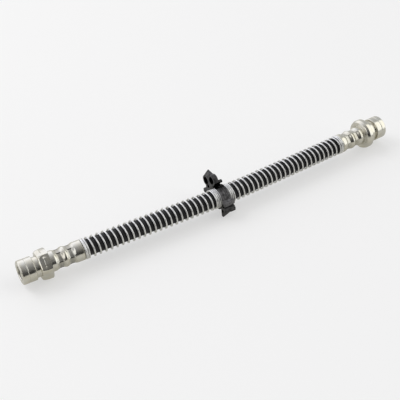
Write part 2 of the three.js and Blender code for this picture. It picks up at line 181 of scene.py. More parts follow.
class SpringSizes(bpy.types.PropertyGroup):
    """Sizes and colour of the spring guard"""
    wire: FloatProperty(
        name="Wire", description="Diameter of the round wire",
        default=1.1 * MM, min=0.2 * MM, unit="LENGTH", subtype="DISTANCE")
    pitch: FloatProperty(
        name="Pitch", description="Length of one open turn",
        default=3.741 * MM, min=0.5 * MM, unit="LENGTH", subtype="DISTANCE")
    close_pitch: FloatProperty(
        name="Close pitch", description="Length of one turn where the wire lies close",
        default=1.196 * MM, min=0.3 * MM, unit="LENGTH", subtype="DISTANCE")
    left_band: FloatProperty(
        name="Left band", description="Length of the close-wound stretch at the left end",
        default=2.1 * MM, min=0, unit="LENGTH", subtype="DISTANCE")
    right_band: FloatProperty(
        name="Right band", description="Length of the close-wound stretch at the right end",
        default=2.4 * MM, min=0, unit="LENGTH", subtype="DISTANCE")
    middle_band: FloatProperty(
        name="Middle band", description="Length of the close-wound stretch under the clip",
        default=13.4 * MM, min=0, unit="LENGTH", subtype="DISTANCE")
    start: FloatProperty(
        name="Start", description="Angle from the front up at which the wire begins",
        default=math.radians(196.1), unit="ROTATION", subtype="ANGLE")
    steps: IntProperty(
        name="Steps", description="Points of the wire in one turn", default=40, min=12, max=96)
    sides: IntProperty(
        name="Sides", description="Faces round the wire", default=12, min=6, max=32)
    colour: FloatVectorProperty(
        name="Colour", description="Colour of the bright wire",
        default=(0.78, 0.78, 0.775), min=0, max=1, subtype="COLOR")


class FittingSizes(bpy.types.PropertyGroup):
    """Sizes and colour of both end fittings"""
    collar_radius: FloatProperty(
        name="Collar radius", description="Radius of the left fitting's collar",
        default=7.5 * MM, min=1 * MM, unit="LENGTH", subtype="DISTANCE")
    flange_radius: FloatProperty(
        name="Flange radius", description="Radius of the right fitting's round flange",
        default=FLANGE_RADIUS, min=1 * MM, unit="LENGTH", subtype="DISTANCE")
    tip_radius: FloatProperty(
        name="Tip radius", description="Radius of the right fitting's tip",
        default=7.9 * MM, min=1 * MM, unit="LENGTH", subtype="DISTANCE")
    scribe: FloatProperty(
        name="Scribed line", description="Depth of the line turned round each end",
        default=0.16 * MM, min=0, unit="LENGTH", subtype="DISTANCE")
    colour: FloatVectorProperty(
        name="Colour", description="Colour of the zinc plating",
        default=(0.645, 0.635, 0.585), min=0, max=1, subtype="COLOR")


class ClipSizes(bpy.types.PropertyGroup):
    """Sizes and colour of the plastic clip"""
    width: FloatProperty(
        name="Width", description="Width of the ring along the hose",
        default=6.4 * MM, min=1 * MM, unit="LENGTH", subtype="DISTANCE")
    wall: FloatProperty(
        name="Wall", description="Thickness of the ring",
        default=0.75 * MM, min=0.2 * MM, unit="LENGTH", subtype="DISTANCE")
    softness: FloatProperty(
        name="Softness", description="Size of the grid that rounds the moulding's edges",
        default=0.14 * MM, min=0.05 * MM, unit="LENGTH", subtype="DISTANCE")
    colour: FloatVectorProperty(
        name="Colour", description="Colour of the plastic",
        default=(0.038, 0.037, 0.038), min=0, max=1, subtype="COLOR")


class StageSettings(bpy.types.PropertyGroup):
    """Camera, floor and light"""
    azimuth: FloatProperty(
        name="Azimuth", description="Angle of the camera round the hose",
        default=math.radians(-31.855), unit="ROTATION", subtype="ANGLE")
    elevation: FloatProperty(
        name="Elevation", description="Angle of the camera above the floor",
        default=math.radians(41.0), unit="ROTATION", subtype="ANGLE")
    place: FloatVectorProperty(
        name="Place", description="Where the camera stands",
        default=(-0.2238, -0.3371, 0.3563), unit="LENGTH", subtype="TRANSLATION")
    lens: FloatProperty(
        name="Lens", description="Focal length in millimetres", default=73.8, min=10, max=300)
    floor_colour: FloatVectorProperty(
        name="Floor", description="Colour of the floor",
        default=(0.924, 0.921, 0.916), min=0, max=1, subtype="COLOR")


SETTINGS = {
    "hose_sizes": HoseSizes,
    "spring_sizes": SpringSizes,
    "fitting_sizes": FittingSizes,
    "clip_sizes": ClipSizes,
    "stage_settings": StageSettings,
}


# The hose's middle line

def height_at(x):
    """Height of the middle line, which lies on the hexagon at the left and the flange at the right."""
    share = (x - LEFT_REST_X) / (RIGHT_REST_X - LEFT_REST_X)
    return LEFT_REST + (RIGHT_REST - LEFT_REST) * share


class Route:
    """The bent middle line with its length, straight beyond both socket mouths"""

    def __init__(self):
        points = [Vector((x, y, height_at(x))) + TO_ROW for x, y in ROUTE]
        before = 2 * points[0] - points[1]
        after = 2 * points[-1] - points[-2]
        points = [before, *points, after]
        self.line = [self.between(points[k - 1:k + 3], i / ROUTE_STEPS)
                     for k in range(1, len(points) - 2) for i in range(ROUTE_STEPS)]
        self.line.append(points[-2])
        self.lengths = [0.0]
        for a, b in zip(self.line, self.line[1:]):
            self.lengths.append(self.lengths[-1] + (b - a).length)
        self.length = self.lengths[-1]
        self.start_way = (self.line[1] - self.line[0]).normalized()
        self.end_way = (self.line[-1] - self.line[-2]).normalized()

    @staticmethod
    def between(four, t):
        """Catmull-Rom point between the second and third of four points."""
        a, b, c, d = four
        from_way, to_way = (c - a) / 2, (d - b) / 2
        return (b + from_way * t
                + (-3 * b + 3 * c - 2 * from_way - to_way) * t ** 2
                + (2 * b - 2 * c + from_way + to_way) * t ** 3)

    def at(self, distance):
        """Point and direction at a distance from the left mouth."""
        if distance <= 0:
            return self.line[0] + self.start_way * distance, self.start_way
        if distance >= self.length:
            return self.line[-1] + self.end_way * (distance - self.length), self.end_way
        high = bisect_right(self.lengths, distance)
        low = high - 1
        share = (distance - self.lengths[low]) / (self.lengths[high] - self.lengths[low])
        a, b = self.line[low], self.line[high]
        way_a = b - self.line[max(low - 1, 0)]
        way_b = self.line[min(high + 1, len(self.line) - 1)] - a
        way = way_a.normalized().lerp(way_b.normalized(), share)
        return a.lerp(b, share), way.normalized()

    def cross(self, distance):
        """Point, back and top of the section at a distance."""
        point, way = self.at(distance)
        back = Vector((0, 0, 1)).cross(way).normalized()
        return point, back, way.cross(back)


ROUTE_LINE = Route()
CLIP_AXIS = ROUTE_LINE.at(ROUTE_LINE.length / 2)[0]


# Mesh helpers

def make_object(name, mesh, material):
    """A finished piece at the origin, riding on the one body, with its finish."""
    mesh.materials.clear()
    mesh.materials.append(material)
    obj = bpy.data.objects.new(name, mesh)
    bpy.context.scene.collection.objects.link(obj)
    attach(obj, "root")
    return obj


def number(value, angle):
    """A number that may depend on the angle."""
    return value(angle) if callable(value) else value


def turned_mesh(name, rings, angles, place, turn=0.0):
    """A closed surface turned about the route.

    rings holds (distance, radius, marks) and at times a fourth value. Distance, radius and the
    fourth value may depend on the angle. marks says how much of the lathe's fine lines shows
    there, and the fourth value says how much a die has dulled the surface, and above 1 how
    much painted shade lies on the pinched ridges. place turns a ring's distance into the
    distance along the route.
    """
    mesh = bpy.data.meshes.new(name)
    bm = bmesh.new()
    profile_layer = bm.verts.layers.float.new("profile")
    marks_layer = bm.verts.layers.float.new("marks")
    matt_and_fold_shade_layer = bm.verts.layers.float.new("matt_and_fold_shade")
    loops = []
    travelled = 0.0
    last = None
    for distance, radius, marks, *matt_and_fold_shade in rings:
        here = (number(distance, angles[0]), number(radius, angles[0]))
        if last:
            travelled += math.hypot(here[0] - last[0], here[1] - last[1])
        last = here
        loop = []
        steady = None if callable(distance) else ROUTE_LINE.cross(place(distance))
        for angle in angles:
            point, back, top = steady or ROUTE_LINE.cross(place(distance(angle)))
            r = number(radius, angle)
            around = angle + turn
            vert = bm.verts.new(point - back * (r * math.cos(around)) + top * (r * math.sin(around)))
            vert[profile_layer] = travelled
            vert[marks_layer] = marks
            vert[matt_and_fold_shade_layer] = number(matt_and_fold_shade[0], angle) if matt_and_fold_shade else 0.0
            loop.append(vert)
        loops.append(loop)
    count = len(angles)
    for a, b in zip(loops, loops[1:] + loops[:1]):
        for i in range(count):
            j = (i + 1) % count
            bm.faces.new((a[i], a[j], b[j], b[i]))
    bmesh.ops.remove_doubles(bm, verts=bm.verts, dist=0.0002 * MM)
    bmesh.ops.recalc_face_normals(bm, faces=bm.faces)
    bm.to_mesh(mesh)
    bm.free()
    mesh.shade_smooth()
    mesh.set_sharp_from_angle(angle=SHARP_ANGLE)
    return mesh


def rounded(outline, radius):
    """The outline with each inner corner turned into a small arc."""
    steps = 3
    result = [outline[0]]
    for before, corner, after in zip(outline, outline[1:], outline[2:]):
        middle = Vector(corner[:2])
        to_before = Vector(before[:2]) - middle
        to_after = Vector(after[:2]) - middle
        cut = min(radius, 0.45 * to_before.length, 0.45 * to_after.length)
        a = middle + to_before.normalized() * cut
        b = middle + to_after.normalized() * cut
        for i in range(steps + 1):
            t = i / steps
            p = a * (1 - t) ** 2 + middle * 2 * t * (1 - t) + b * t ** 2
            result.append((p.x, p.y, corner[2]))
    result.append(outline[-1])
    return result


def evaluated_mesh(obj):
    """A mesh of an object with its modifiers applied."""
    graph = bpy.context.evaluated_depsgraph_get()
    graph.update()
    return bpy.data.meshes.new_from_object(
        obj.evaluated_get(graph), preserve_all_data_layers=True, depsgraph=graph)


def finished_mesh(obj, name):
    """The mesh of an object with its modifiers applied; the object and its old mesh go."""
    mesh = evaluated_mesh(obj)
    mesh.name = name
    old = obj.data
    bpy.data.objects.remove(obj)
    bpy.data.meshes.remove(old)
    return mesh


# Node helpers

def fill(tree, node, values):
    """Sets a node's inputs, and links those whose value is another node's output."""
    for key, value in values.items():
        if isinstance(value, bpy.types.NodeSocket):
            tree.links.new(value, node.inputs[key])
        else:
            node.inputs[key].default_value = value


def add(tree, kind, values=None, **settings):
    """A node with its settings and the values of its inputs."""
    node = tree.nodes.new(kind)
    for key, value in settings.items():
        setattr(node, key, value)
    fill(tree, node, values or {})
    return node


def node_tree(kind, name, inputs, outputs):
    """An empty node tree with named sockets, and its two end nodes."""
    tree = bpy.data.node_groups.new(name, kind)
    for label, socket_type, default in inputs:
        socket = tree.interface.new_socket(label, in_out="INPUT", socket_type=socket_type)
        if default is not None:
            socket.default_value = default
    for label, socket_type in outputs:
        tree.interface.new_socket(label, in_out="OUTPUT", socket_type=socket_type)
    return tree, tree.nodes.new("NodeGroupInput").outputs, tree.nodes.new("NodeGroupOutput")


def maths(tree, operation, *values):
    """The result of a sum on numbers and other nodes' outputs."""
    return add(tree, "ShaderNodeMath", dict(enumerate(values)), operation=operation).outputs[0]


def vector_maths(tree, operation, *values):
    """The result of a sum on vectors."""
    node = add(tree, "ShaderNodeVectorMath", dict(enumerate(values)), operation=operation)
    return node.outputs["Value" if operation == "LENGTH" else "Vector"]


def stretched(tree, vector, factor):
    """A vector times a number."""
    node = add(tree, "ShaderNodeVectorMath", {0: vector, "Scale": factor}, operation="SCALE")
    return node.outputs[0]


def share_between(tree, value, low, high, curve="LINEAR"):
    """0 where the value is at the low limit or beyond it, 1 where it is at the high one."""
    node = add(tree, "ShaderNodeMapRange", {"Value": value, "From Min": low, "From Max": high},
               interpolation_type=curve)
    return node.outputs["Result"]


def colour_mix(tree, share, low, high):
    """Two colours mixed by a mask; each may be another node's output."""
    low, high = [c if isinstance(c, bpy.types.NodeSocket) else (*c, 1) for c in (low, high)]
    mix = add(tree, "ShaderNodeMix", {"Factor": share, "A": low, "B": high}, data_type="RGBA")
    return mix.outputs["Result"]


def attribute(tree, name):
    """A value that the mesh carries."""
    return add(tree, "ShaderNodeAttribute", attribute_name=name).outputs["Fac"]


def bump(tree, height, strength, distance):
    """The normal of a surface with small relief."""
    node = add(tree, "ShaderNodeBump",
               {"Height": height, "Strength": strength, "Distance": distance})
    return node.outputs["Normal"]


def scaled(colour, factor):
    """A colour made brighter or darker."""
    return tuple(min(1.0, c * factor) for c in colour)


# Effects that more than one finish uses

def mottle_group():
    """Soft blotches between two values, for stain, wear and uneven gloss."""
    tree, given, end = node_tree(
        "ShaderNodeTree", "Mottle",
        [("Vector", "NodeSocketVector", None), ("Scale", "NodeSocketFloat", 100.0),
         ("Detail", "NodeSocketFloat", 3.0), ("Low", "NodeSocketFloat", 0.0),
         ("High", "NodeSocketFloat", 1.0)],
        [("Value", "NodeSocketFloat")])
    noise = add(tree, "ShaderNodeTexNoise", {
        "Vector": given["Vector"], "Scale": given["Scale"], "Detail": given["Detail"]})
    spread = add(tree, "ShaderNodeMapRange", {
        "Value": noise.outputs["Fac"], "From Min": 0.32, "From Max": 0.68,
        "To Min": given["Low"], "To Max": given["High"]}, interpolation_type="SMOOTHSTEP")
    fill(tree, end, {"Value": spread.outputs["Result"]})
    return tree


def fine_lines_group():
    """Fine uneven lines across one coordinate, as a tool or a die leaves them."""
    tree, given, end = node_tree(
        "ShaderNodeTree", "Fine lines",
        [("Coordinate", "NodeSocketFloat", 0.0), ("Lines per metre", "NodeSocketFloat", 4000.0),
         ("Amount", "NodeSocketFloat", 1.0)],
        [("Height", "NodeSocketFloat")])
    count = maths(tree, "MULTIPLY", given["Coordinate"], given["Lines per metre"])
    noise = add(tree, "ShaderNodeTexNoise",
                {"W": count, "Scale": 1.0, "Detail": 2.0, "Roughness": 0.6},
                noise_dimensions="1D")
    fill(tree, end, {"Height": maths(tree, "MULTIPLY", noise.outputs["Fac"], given["Amount"])})
    return tree


def edge_highlight_group():
    """1 along outer edges, broken up by blotches; it places a painted highlight."""
    tree, given, end = node_tree(
        "ShaderNodeTree", "Edge highlight",
        [("Vector", "NodeSocketVector", None), ("From", "NodeSocketFloat", 0.52),
         ("To", "NodeSocketFloat", 0.6)],
        [("Mask", "NodeSocketFloat")])
    bend = add(tree, "ShaderNodeNewGeometry").outputs["Pointiness"]
    band = share_between(tree, bend, given["From"], given["To"])
    noise = add(tree, "ShaderNodeTexNoise",
                {"Vector": given["Vector"], "Scale": 900.0, "Detail": 4.0})
    fill(tree, end, {"Mask": maths(tree, "MULTIPLY", band, noise.outputs["Fac"])})
    return tree


def round_group():
    """1 inside a round that runs along X, fading to 0 over an edge that is a share of its radius."""
    tree, given, end = node_tree(
        "ShaderNodeTree", "Round",
        [("Vector", "NodeSocketVector", None), ("Centre", "NodeSocketVector", None),
         ("Radius", "NodeSocketFloat", 0.001), ("Edge", "NodeSocketFloat", 0.1)],
        [("Mask", "NodeSocketFloat")])
    offset = vector_maths(tree, "SUBTRACT", given["Vector"], given["Centre"])
    across = vector_maths(tree, "MULTIPLY", offset, (0.0, 1.0, 1.0))
    reach = maths(tree, "DIVIDE", vector_maths(tree, "LENGTH", across), given["Radius"])
    limit = maths(tree, "ADD", given["Edge"], 1.0)
    fill(tree, end, {"Mask": share_between(tree, reach, limit, 1.0, "SMOOTHSTEP")})
    return tree


GROUP_MAKERS = {"Mottle": mottle_group, "Fine lines": fine_lines_group,
                "Edge highlight": edge_highlight_group, "Round": round_group}
GROUPS = {}


def group(tree, name, **values):
    """The output of one of the shared groups, which is made on first use."""
    if name not in GROUPS:
        GROUPS[name] = GROUP_MAKERS[name]()
    node = tree.nodes.new("ShaderNodeGroup")
    node.node_tree = GROUPS[name]
    fill(tree, node, {key.replace("_", " "): value for key, value in values.items()})
    return node.outputs[0]


# Finishes

def new_material(name):
    """A material with its Principled shader and Object coordinates."""
    material = bpy.data.materials.new(name)
    material.use_nodes = True
    tree = material.node_tree
    place = add(tree, "ShaderNodeTexCoord").outputs["Object"]
    return material, tree, tree.nodes["Principled BSDF"], place


def rubber_finish(colour):
    """Extruded rubber: fine grain and chalky patches."""
    material, tree, shader, place = new_material("hose_rubber")
    blotch = group(tree, "Mottle", Vector=place, Scale=260.0, Detail=5.0)
    gloss = group(tree, "Mottle", Vector=place, Scale=420.0, Detail=4.0, Low=0.46, High=0.66)
    grain = group(tree, "Mottle", Vector=place, Scale=3200.0, Detail=2.0)
    fill(tree, shader, {
        "Base Color": colour_mix(tree, blotch, scaled(colour, 0.5), scaled(colour, 1.25)),
        "Roughness": gloss,
        "Normal": bump(tree, grain, 0.5, 0.06 * MM),
        "Specular IOR Level": 0.3,
    })
    return material


def wire_finish(colour):
    """Bright drawn wire with die lines along it."""
    material, tree, shader, place = new_material("spring_steel")
    stain = group(tree, "Mottle", Vector=place, Scale=180.0, Detail=4.0)
    gloss = group(tree, "Mottle", Vector=place, Scale=700.0, Detail=3.0, Low=0.3, High=0.4)
    lines = group(tree, "Fine lines", Coordinate=attribute(tree, "wire_around"),
                  Lines_per_metre=38.0)
    fill(tree, shader, {
        "Base Color": colour_mix(tree, stain, scaled(colour, 0.9), scaled(colour, 1.05)),
        "Roughness": gloss,
        "Normal": bump(tree, lines, 0.4, 0.003 * MM),
        "Metallic": 1.0,
    })
    return material


def plated_finish(colour):
    """Turned steel under zinc: lathe lines, cloudy gloss, duller darker metal under the dies, painted
    shade on pinched ridges.
    """
    material, tree, shader, place = new_material("plated_steel")
    cloud = group(tree, "Mottle", Vector=place, Scale=190.0, Detail=5.0)
    gloss = group(tree, "Mottle", Vector=place, Scale=520.0, Detail=4.0, Low=0.16, High=0.25)
    lines = group(tree, "Fine lines", Coordinate=attribute(tree, "profile"),
                  Lines_per_metre=5200.0, Amount=attribute(tree, "marks"))
    matt_and_fold_shade = attribute(tree, "matt_and_fold_shade")
    pressed = maths(tree, "MINIMUM", matt_and_fold_shade, 1.0)
    warm = (colour[0], colour[1] * 0.97, colour[2] * 0.9)
    shown = colour_mix(tree, cloud, colour, warm)
    # Pressed plating is darker, and above 1 the value paints shade on the pinched ridges, for the
    # shadows of the small folds there
    for amount, low, high, tone in ((pressed, 0.0, 2.3, 0.2), (matt_and_fold_shade, 1.1, 2.6, 0.05)):
        share = share_between(tree, amount, low, high)
        shown = colour_mix(tree, share, shown, scaled(colour, tone))
    fill(tree, shader, {
        "Base Color": shown,
        "Roughness": maths(tree, "MULTIPLY_ADD", pressed, 0.2, gloss),
        "Normal": bump(tree, lines, 0.4, 0.002 * MM),
        "Metallic": 1.0,
    })
    return material


def clip_round(tree, place, y, z, radius, edge=0.1):
    """1 inside a round that runs through the clip, given in millimetres from the hose's axis."""
    centre = CLIP_AXIS + Vector((0, y, z)) * MM
    return group(tree, "Round", Vector=place, Centre=centre, Radius=radius * MM, Edge=edge)


def plastic_finish(colour):
    """Moulded black plastic: grain, painted light on a patch, painted edge highlights and unlit
    hollows.
    """
    material, tree, shader, place = new_material("clip_plastic")
    blotch = group(tree, "Mottle", Vector=place, Scale=480.0, Detail=4.0)
    gloss = group(tree, "Mottle", Vector=place, Scale=600.0, Detail=3.0, Low=0.3, High=0.44)
    grain = group(tree, "Mottle", Vector=place, Scale=4200.0, Detail=2.0)
    plain = colour_mix(tree, blotch, scaled(colour, 0.3), scaled(colour, 1.6))
    # Painted light: a lighter tone laid inside a round on the ring's front
    light = colour_mix(tree, blotch, scaled(colour, 1.6), scaled(colour, 4.6))
    painted_light = clip_round(tree, place, *PAINTED_LIGHT_ROUND, edge=0.85)
    edge_highlight = group(tree, "Edge highlight", Vector=place)
    shown = colour_mix(tree, painted_light, plain, light)
    # Painted highlight along the outer edges
    shown = colour_mix(tree, edge_highlight, shown, scaled(colour, 2.4))
    unlit = 0.0
    channels = [(y, z, CHANNEL_RADIUS + 0.1) for y, z in CHANNELS]
    for y, z, radius in (*channels, *[pit[:3] for pit in PITS], *DARK_ROUNDS):
        unlit = maths(tree, "MAXIMUM", unlit, clip_round(tree, place, y, z, radius))
    fill(tree, shader, {
        "Base Color": colour_mix(tree, unlit, shown, (0.0008, 0.0008, 0.0008)),
        # A black metal mirrors nothing of the bright room
        "Metallic": unlit,
        "Roughness": gloss,
        "Normal": bump(tree, grain, 0.4, 0.04 * MM),
        "Specular IOR Level": 0.25,
    })
    return material


# Rubber hose

def pressed_stops():
    """Radius of the hose inside a socket, at distances from the mouth."""
    free = bpy.context.scene.hose_sizes.diameter / 2
    pressed = CRIMP_RADIUS - SOCKET_WALL - GAP
    stops = []
    for place in CRIMP_PLACES:
        for side, radii in ((-1, (free, pressed)), (1, (pressed, free))):
            edge = place + side * CRIMP_WIDTH / 2
            stops.append((edge - CRIMP_SLOPE / 2, radii[0]))
            stops.append((edge + CRIMP_SLOPE / 2, radii[1]))
    return stops


class HOSE_OT_rubber(bpy.types.Operator):
    """Make the rubber hose, one tube from nipple to nipple"""
    bl_idname = "brake_hose.rubber"
    bl_label = "Rubber hose"

    def execute(self, context):
        sizes = context.scene.hose_sizes
        end = ROUTE_LINE.length
        depth = SOCKET_DEPTH - GAP
        free = sizes.diameter / 2
        chamfer = 0.3 * MM
        outer_steps, inner_steps = 120, 24
        outside = [(-depth, free - chamfer), (-depth + chamfer, free)]
        outside += [(-place, radius) for place, radius in reversed(pressed_stops())]
        outside += [(end * i / outer_steps, free) for i in range(outer_steps + 1)]
        outside += [(end + place, radius) for place, radius in pressed_stops()]
        outside += [(end + depth - chamfer, free), (end + depth, free - chamfer)]
        over = SOCKET_DEPTH - NIPPLE_LENGTH - GAP
        inside = [(end + depth, HOSE_END_BORE / 2), (end + over, HOSE_END_BORE / 2)]
        inside += [(end * i / inner_steps, HOSE_BORE / 2) for i in range(inner_steps, -1, -1)]
        inside += [(-over, HOSE_END_BORE / 2), (-depth, HOSE_END_BORE / 2)]
        rings = [(d, r, 0.0) for d, r in outside + inside]
        angles = [TAU * i / sizes.sides for i in range(sizes.sides)]
        mesh = turned_mesh("hose_cover", rings, angles, lambda d: d)
        hose = make_object("hose_cover", mesh, rubber_finish(sizes.colour))
        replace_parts(hose, "rubber_hose")
        return {"FINISHED"}


def declare_hose():
    """Works out points along the hose's middle line from nipple to nipple, which nothing uses."""
    end = ROUTE_LINE.length
    depth = SOCKET_DEPTH - GAP
    count = 40
    path = [ROUTE_LINE.at(-depth + (end + 2 * depth) * i / count)[0] for i in range(count + 1)]
    ROUTE_LINE.at(0.0)[0]


# Spring guard

def spring_stretches(sizes):
    """Start, end and pitch of each stretch of the wire, at distances from the left mouth."""
    free = MOUTH_GAP + sizes.wire / 2
    start = LEFT_MOUTH + free
    end = ROUTE_LINE.length - RIGHT_MOUTH - free
    middle = ROUTE_LINE.length / 2
    half = sizes.middle_band / 2
    return [
        (start, start + FLAT_TURN, FLAT_TURN),
        (start + FLAT_TURN, start + sizes.left_band, sizes.close_pitch),
        (start + sizes.left_band, middle - half, sizes.pitch),
        (middle - half, middle + half, sizes.close_pitch),
        (middle + half, end - sizes.right_band, sizes.pitch),
        (end - sizes.right_band, end - FLAT_TURN, sizes.close_pitch),
        (end - FLAT_TURN, end, FLAT_TURN),
    ]


def spring_guide(sizes):
    """The hose's middle line as edges, with the turns and the section's axes at each point."""
    spots = []
    turns = 0.0
    for start, end, pitch in spring_stretches(sizes):
        count = round((end - start) / pitch * sizes.steps)
        for i in range(1 if spots else 0, count + 1):
            share = i / count
            spots.append((start + (end - start) * share, turns + (end - start) / pitch * share))
        turns += (end - start) / pitch
    crosses = [ROUTE_LINE.cross(distance) for distance, _ in spots]
    mesh = bpy.data.meshes.new("spring_guide")
    mesh.from_pydata([tuple(c[0]) for c in crosses], [(i, i + 1) for i in range(len(spots) - 1)], [])
    turn = mesh.attributes.new("turns", "FLOAT", "POINT")
    turn.data.foreach_set("value", [t for _, t in spots])
    for name, which in (("back", 1), ("top", 2)):
        layer = mesh.attributes.new(name, "FLOAT_VECTOR", "POINT")
        layer.data.foreach_set("vector", [value for c in crosses for value in c[which]])
    return mesh


def guide_value(tree, name, kind="FLOAT_VECTOR"):
    """A value that the guide line carries at each point."""
    node = add(tree, "GeometryNodeInputNamedAttribute", {"Name": name}, data_type=kind)
    return node.outputs["Attribute"]


def spring_tree():
    """Winds a round wire about a guide line."""
    tree, given, end = node_tree(
        "GeometryNodeTree", "Wind wire",
        [("Guide", "NodeSocketGeometry", None), ("Coil radius", "NodeSocketFloat", None),
         ("Wire radius", "NodeSocketFloat", None), ("Start angle", "NodeSocketFloat", None),
         ("Sides", "NodeSocketInt", None), ("Finish", "NodeSocketMaterial", None)],
        [("Wire", "NodeSocketGeometry")])

    turns = guide_value(tree, "turns", "FLOAT")
    angle = maths(tree, "MULTIPLY_ADD", turns, -TAU, given["Start angle"])
    to_back = maths(tree, "MULTIPLY", maths(tree, "COSINE", angle), -1.0)
    way = vector_maths(tree, "ADD",
                       stretched(tree, guide_value(tree, "back"), to_back),
                       stretched(tree, guide_value(tree, "top"), maths(tree, "SINE", angle)))
    moved = add(tree, "GeometryNodeSetPosition", {
        "Geometry": given["Guide"], "Offset": stretched(tree, way, given["Coil radius"])})
    line = add(tree, "GeometryNodeMeshToCurve", {"Mesh": moved.outputs[0]})

    section = add(tree, "GeometryNodeCurvePrimitiveCircle", {
        "Resolution": given["Sides"], "Radius": given["Wire radius"]})
    around = add(tree, "GeometryNodeStoreNamedAttribute", {
        "Geometry": section.outputs[0], "Name": "wire_around",
        "Value": add(tree, "GeometryNodeSplineParameter").outputs["Factor"]},
        data_type="FLOAT", domain="POINT")

    tube = add(tree, "GeometryNodeCurveToMesh", {
        "Curve": line.outputs[0], "Profile Curve": around.outputs[0], "Fill Caps": True})
    smooth = add(tree, "GeometryNodeSetShadeSmooth", {"Geometry": tube.outputs[0]})
    real = add(tree, "GeometryNodeRealizeInstances", {"Geometry": smooth.outputs[0]})
    finish = add(tree, "GeometryNodeSetMaterial", {
        "Geometry": real.outputs[0], "Material": given["Finish"]})
    fill(tree, end, {"Wire": finish.outputs[0]})
    return tree


def apply_tree(mesh, tree, values, name):
    """The mesh that a tree makes of a mesh, with the inputs set by their identifiers."""
    obj = bpy.data.objects.new(name, mesh)
    modifier = obj.modifiers.new("Shape", "NODES")
    modifier.node_group = tree
    for item in tree.interface.items_tree:
        if item.item_type == "SOCKET" and item.in_out == "INPUT" and item.name in values:
            modifier[item.identifier] = values[item.name]
    bpy.context.scene.collection.objects.link(obj)
    return finished_mesh(obj, name)


class HOSE_OT_spring(bpy.types.Operator):
    """Wind the spring guard round the hose"""
    bl_idname = "brake_hose.spring"
    bl_label = "Spring guard"

    def execute(self, context):
        sizes = context.scene.spring_sizes
        finish = wire_finish(sizes.colour)
        mesh = apply_tree(spring_guide(sizes), spring_tree(), {
            "Coil radius": context.scene.hose_sizes.diameter / 2 + GAP + sizes.wire / 2,
            "Wire radius": sizes.wire / 2,
            "Start angle": sizes.start,
            "Sides": sizes.sides,
            "Finish": finish,
        }, "spring_wire")
        mesh.set_sharp_from_angle(angle=WIRE_SHARP_ANGLE)
        wire = make_object("spring_wire", mesh, finish)
        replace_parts(wire, "spring_guard")
        return {"FINISHED"}


# End fittings

def from_face(angle):
    """Angle from the middle of the nearest of six faces, with a corner at angle 0."""
    return angle % SIXTH_TURN - SIXTH_TURN / 2


def full_hexagon(angle):
    """Radius of the square inner half, whose faces are crowned a little."""
    off = from_face(angle)
    crown = HEX_CROWN * (0.4 - (off / (SIXTH_TURN / 2)) ** 2)
    return HEX_WIDTH / 2 / math.cos(off) + crown


def milled_flats(level, land):
    """Radius of the outer half: flats at one level, cut round where they would pass the land."""
    half_angle = math.acos(level / land)

    def radius(angle):
        return level / math.cos(min(abs(from_face(angle)), half_angle))
    return radius


def pinch_at(angle):
    """1 on the narrow ridges that are pinched up between the six dies."""
    return max(0.0, 1 - (SIXTH_TURN / 2 - abs(from_face(angle))) / math.radians(5.0))


def crimp_section(angle):
    """Radius under six dies: nearly flat faces with a narrow pinched ridge between each two."""
    flatness, pinch = 0.35, 0.4
    face = (CRIMP_RADIUS - CRIMP_TIGHTER) * (1 + flatness * (1 / math.cos(from_face(angle)) - 1))
    return face + (CRIMP_RIDGE - CRIMP_RADIUS) * pinch * pinch_at(angle)


def socket_rings(mouth, dull_and_fold_shade):
    """Outside of the socket with its two crimped waists, dulled as given where the dies pressed, with
    painted shade on the pinched ridges.
    """
    rings = [(mouth, SOCKET_RADIUS - 0.45 * MM, 0.3),
             (mouth + 0.12 * MM, SOCKET_RADIUS - 0.2 * MM, 0.3),
             (mouth + 0.4 * MM, SOCKET_RADIUS, 0.3)]
    steps = 12
    for place in CRIMP_PLACES:
        for side in (-1, 1):
            edge = place + side * (CRIMP_WIDTH + EDGE * 2) / 2
            for i in range(steps + 1):
                t = i / steps
                to_waist = t if side < 0 else 1 - t
                depth = to_waist ** 2 * (3 - 2 * to_waist)

                def radius(angle, depth=depth):
                    return SOCKET_RADIUS + (crimp_section(angle) - SOCKET_RADIUS) * depth

                # Above 1 on the pinched ridges: painted shade for the small folds there
                def matt_and_fold_shade(angle, depth=depth):
                    return dull_and_fold_shade * depth ** 3 * (1 + 2.5 * pinch_at(angle))

                rings.append((edge + (t - 0.5) * CRIMP_BLEND, radius, 0.12, matt_and_fold_shade))
    return rings


def socket_inside_rings(mouth):
    """From the nipple's tip back out to the socket's mouth."""
    bore = bpy.context.scene.hose_sizes.diameter / 2 + GAP
    tip = SOCKET_DEPTH - NIPPLE_LENGTH
    rings = [(tip, NIPPLE_RADIUS - EDGE / 2, 0.5), (tip + EDGE, NIPPLE_RADIUS, 0.5),
             (SOCKET_DEPTH, NIPPLE_RADIUS, 0.5), (SOCKET_DEPTH, bore, 0.5)]
    rings += [(place, radius + GAP, 0.3) for place, radius in reversed(pressed_stops())]
    rings.append((mouth, bore, 0.3))
    return rings


def port_rings(length):
    """The female port with its thread and its cone seat, and the bore to the nipple's tip."""
    first = length - EDGE
    rings = [(length, PORT_RADIUS + EDGE, 0.6), (first, PORT_RADIUS, 0.6)]
    per_turn = 6
    count = THREAD_TURNS * per_turn
    for i in range(1, count):
        distance = first - i * THREAD_PITCH / per_turn
        fade = min(1.0, (count - i) / per_turn)

        def radius(angle, distance=distance, fade=fade):
            phase = (distance / THREAD_PITCH + angle / TAU) % 1.0
            return PORT_RADIUS + THREAD_DEPTH * fade * max(0.0, 1 - abs(phase - 0.5) * 2.4)

        rings.append((distance, radius, 0.0))
    rings += [(length - PORT_DEPTH, PORT_RADIUS, 0.6),
              (length - PORT_DEPTH - PORT_SEAT, NIPPLE_BORE / 2, 0.6),
              (SOCKET_DEPTH - NIPPLE_LENGTH, NIPPLE_BORE / 2, 0.4)]
    return rings


